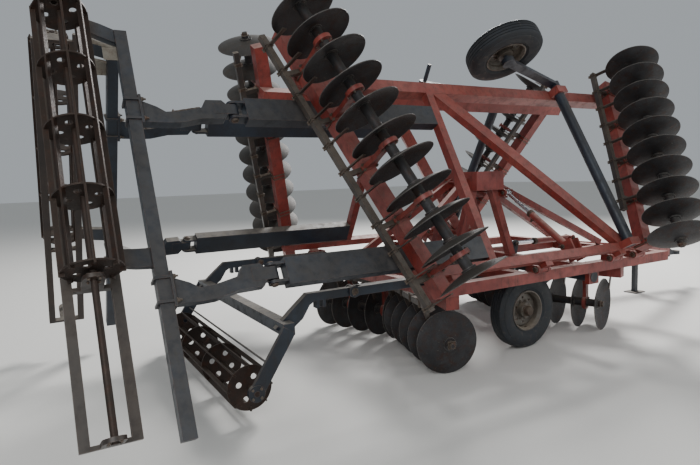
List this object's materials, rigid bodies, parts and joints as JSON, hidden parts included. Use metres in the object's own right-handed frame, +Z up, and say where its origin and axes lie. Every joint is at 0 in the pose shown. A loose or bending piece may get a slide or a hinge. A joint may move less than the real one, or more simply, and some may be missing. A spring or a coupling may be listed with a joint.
{
  "type": "trailed disc harrow",
  "caption": "Trailed folding disc harrow with its wings folded up for the road: angled gangs of dished discs, transport wheels, cage rollers, a steel frame with a central mast and a drawbar",
  "frame": {"origin": "On the ground, below the middle of the machine's bounding box", "axes": "+X forward along the direction of travel, +Y to the machine's left, +Z up"},
  "size_m": [8.282, 4.0646, 3.2247],
  "materials": {
    "frame_paint": "faded, scuffed red paint with rust at the edges",
    "dark_paint": "worn dark blue-grey paint",
    "worn_steel": "dull weathered steel with earth stains",
    "tyre": "dusty black rubber",
    "rod_chrome": "polished hydraulic rod"
  },
  "bodies": {
    "root": {"centre_rails": "frame_paint", "centre_cross_beams": "frame_paint", "mast": "frame_paint", "mast_braces": "frame_paint", "drawbar": "frame_paint", "hitch": "dark_paint", "centre_gang_beams": "frame_paint", "centre_scrapers": "dark_paint", "centre_roller_booms": "dark_paint"},
    "stand": {"park_stand": "dark_paint"},
    "wing_left": {"wing_beams_left": "frame_paint", "wing_gang_beams_left": "frame_paint", "wing_scrapers_left": "dark_paint", "roller_booms_left": "dark_paint"},
    "fold_barrel_left": {"fold_barrel_left": "frame_paint"},
    "fold_rod_left": {"fold_rod_left": "rod_chrome"},
    "axle_left": {"wing_axle_left": "dark_paint"},
    "gang_front_wing_left": {"gang_front_wing_left": "worn_steel"},
    "gang_rear_wing_left": {"gang_rear_wing_left": "worn_steel"},
    "gang_front_centre_left": {"gang_front_centre_left": "worn_steel"},
    "gang_rear_centre_left": {"gang_rear_centre_left": "worn_steel"},
    "roller_arm_left": {"roller_carrier_left": "dark_paint"},
    "roller_left": {"roller_cage_left": "worn_steel"},
    "wheel_centre_left": {"tyre_centre_left": "tyre", "rim_centre_left": "dark_paint"},
    "wing_right": {"wing_beams_right": "frame_paint", "wing_gang_beams_right": "frame_paint", "wing_scrapers_right": "dark_paint", "roller_booms_right": "dark_paint"},
    "fold_barrel_right": {"fold_barrel_right": "frame_paint"},
    "fold_rod_right": {"fold_rod_right": "rod_chrome"},
    "axle_right": {"wing_axle_right": "dark_paint"},
    "wheel_right": {"tyre_wing_right": "tyre", "rim_wing_right": "dark_paint"},
    "gang_front_wing_right": {"gang_front_wing_right": "worn_steel"},
    "gang_rear_wing_right": {"gang_rear_wing_right": "worn_steel"},
    "gang_front_centre_right": {"gang_front_centre_right": "worn_steel"},
    "gang_rear_centre_right": {"gang_rear_centre_right": "worn_steel"},
    "roller_arm_right": {"roller_carrier_right": "dark_paint"},
    "roller_right": {"roller_cage_right": "worn_steel"},
    "wheel_centre_right": {"tyre_centre_right": "tyre", "rim_centre_right": "dark_paint"},
    "axle_centre_body": {"axle_centre": "dark_paint"},
    "lift_barrel_body": {"lift_barrel": "frame_paint"},
    "lift_rod_body": {"lift_rod": "rod_chrome"},
    "roller_arm_centre": {"centre_roller_carrier": "dark_paint"},
    "roller_centre": {"centre_roller_cage": "worn_steel"}
  },
  "joints": [
    {"name": "stand_slide", "type": "slide", "parent": "root", "child": "stand", "axis": [0, 0, 1], "range_m": [0, 0.3]},
    {"name": "fold_left", "type": "hinge", "parent": "root", "child": "wing_left", "pos_m": [-0.034, 1.225, 0.85], "axis": [-1, 0, 0], "range_deg": [0, 119]},
    {"name": "fold_barrel_swivel_left", "type": "hinge", "parent": "wing_left", "child": "fold_barrel_left", "pos_m": [0.366, 1.06151, 0.99721], "axis": [1, 0, 0], "range_deg": [0, 126.1]},
    {"name": "fold_rod_slide_left", "type": "slide", "parent": "fold_barrel_left", "child": "fold_rod_left", "axis": [0, -0.8376, 0.5463], "range_m": [0, 0.365]},
    {"name": "lift_left", "type": "hinge", "parent": "wing_left", "child": "axle_left", "pos_m": [0.936, 0.91499, 1.79293], "axis": [0, 0.4848, -0.8746], "range_deg": [0, 25]},
    {"name": "turn_front_wing_left", "type": "hinge", "parent": "wing_left", "child": "gang_front_wing_left", "pos_m": [1.107, 1.76027, 1.05181], "axis": [0.3338, -0.457, 0.8245], "continuous": true},
    {"name": "turn_rear_wing_left", "type": "hinge", "parent": "wing_left", "child": "gang_rear_wing_left", "pos_m": [-1.544, 1.75543, 1.06056], "axis": [-0.2924, -0.4636, 0.8364], "continuous": true},
    {"name": "turn_front_centre_left", "type": "hinge", "parent": "root", "child": "gang_front_centre_left", "pos_m": [0.836, 0.19, 0.284], "axis": [0.3338, 0.9426, 0], "continuous": true},
    {"name": "turn_rear_centre_left", "type": "hinge", "parent": "root", "child": "gang_rear_centre_left", "pos_m": [-0.889, 0.152, 0.284], "axis": [-0.2924, 0.9563, 0], "continuous": true},
    {"name": "roller_lift_left", "type": "hinge", "parent": "wing_left", "child": "roller_arm_left", "pos_m": [-2.814, 0.84262, 1.68421], "axis": [0, 0.4848, -0.8746], "range_deg": [0, 15]},
    {"name": "roller_turn_left", "type": "hinge", "parent": "roller_arm_left", "child": "roller_left", "pos_m": [-3.966, 0.89112, 2.1227], "axis": [0, -0.4848, 0.8746], "continuous": true},
    {"name": "wheel_turn_centre_left", "type": "hinge", "parent": "axle_centre_body", "child": "wheel_centre_left", "pos_m": [-0.034, 0.85, 0.376], "axis": [0, 1, 0], "continuous": true},
    {"name": "fold_right", "type": "hinge", "parent": "root", "child": "wing_right", "pos_m": [-0.034, -1.225, 0.85], "axis": [1, 0, 0], "range_deg": [0, 119]},
    {"name": "fold_barrel_swivel_right", "type": "hinge", "parent": "wing_right", "child": "fold_barrel_right", "pos_m": [0.366, -1.06151, 0.99721], "axis": [-1, 0, 0], "range_deg": [0, 126.1]},
    {"name": "fold_rod_slide_right", "type": "slide", "parent": "fold_barrel_right", "child": "fold_rod_right", "axis": [0, 0.8376, 0.5463], "range_m": [0, 0.365]},
    {"name": "lift_right", "type": "hinge", "parent": "wing_right", "child": "axle_right", "pos_m": [0.936, -0.91499, 1.79293], "axis": [0, 0.4848, 0.8746], "range_deg": [0, 25]},
    {"name": "wheel_turn_right", "type": "hinge", "parent": "axle_right", "child": "wheel_right", "pos_m": [-0.034, -0.61129, 2.93487], "axis": [0, 0.4848, 0.8746], "continuous": true},
    {"name": "turn_front_wing_right", "type": "hinge", "parent": "wing_right", "child": "gang_front_wing_right", "pos_m": [1.107, -1.76027, 1.05181], "axis": [0.3338, 0.457, 0.8245], "continuous": true},
    {"name": "turn_rear_wing_right", "type": "hinge", "parent": "wing_right", "child": "gang_rear_wing_right", "pos_m": [-1.544, -1.75543, 1.06056], "axis": [-0.2924, 0.4636, 0.8364], "continuous": true},
    {"name": "turn_front_centre_right", "type": "hinge", "parent": "root", "child": "gang_front_centre_right", "pos_m": [0.836, -0.19, 0.284], "axis": [0.3338, -0.9426, 0], "continuous": true},
    {"name": "turn_rear_centre_right", "type": "hinge", "parent": "root", "child": "gang_rear_centre_right", "pos_m": [-0.889, -0.152, 0.284], "axis": [-0.2924, -0.9563, 0], "continuous": true},
    {"name": "roller_lift_right", "type": "hinge", "parent": "wing_right", "child": "roller_arm_right", "pos_m": [-2.814, -0.84262, 1.68421], "axis": [0, 0.4848, 0.8746], "range_deg": [0, 15]},
    {"name": "roller_turn_right", "type": "hinge", "parent": "roller_arm_right", "child": "roller_right", "pos_m": [-3.966, -0.89112, 2.1227], "axis": [0, 0.4848, 0.8746], "continuous": true},
    {"name": "wheel_turn_centre_right", "type": "hinge", "parent": "axle_centre_body", "child": "wheel_centre_right", "pos_m": [-0.034, -0.85, 0.376], "axis": [0, 1, 0], "continuous": true},
    {"name": "lift_centre", "type": "hinge", "parent": "root", "child": "axle_centre_body", "pos_m": [0.666, 0, 0.664], "axis": [0, -1, 0], "range_deg": [0, 25]},
    {"name": "lift_barrel_swivel", "type": "hinge", "parent": "root", "child": "lift_barrel_body", "pos_m": [1.726, 0, 0.89], "axis": [0, -1, 0], "range_deg": [0, 1.15]},
    {"name": "lift_rod_slide", "type": "slide", "parent": "lift_barrel_body", "child": "lift_rod_body", "axis": [-0.9999, 0, 0.0139], "range_m": [0, 0.109]},
    {"name": "roller_lift_centre", "type": "hinge", "parent": "root", "child": "roller_arm_centre", "pos_m": [-2.084, 0, 0.855], "axis": [0, 1, 0], "range_deg": [0, 12]},
    {"name": "roller_turn_centre", "type": "hinge", "parent": "roller_arm_centre", "child": "roller_centre", "pos_m": [-2.954, 0, 0.25], "axis": [0, 1, 0], "continuous": true}
  ],
  "couplings": [
    {"joint": "fold_barrel_swivel_left", "follows": "fold_left", "ratio": 1.0512},
    {"joint": "fold_rod_slide_left", "follows": "fold_left", "m_per_rad": 0.17328},
    {"joint": "lift_left", "follows": "lift_centre", "ratio": 1},
    {"joint": "fold_barrel_swivel_right", "follows": "fold_right", "ratio": 1.0512},
    {"joint": "fold_rod_slide_right", "follows": "fold_right", "m_per_rad": 0.17328},
    {"joint": "lift_right", "follows": "lift_centre", "ratio": 1},
    {"joint": "lift_barrel_swivel", "follows": "lift_centre", "ratio": 0.0058},
    {"joint": "lift_rod_slide", "follows": "lift_centre", "m_per_rad": 0.24313}
  ]
}
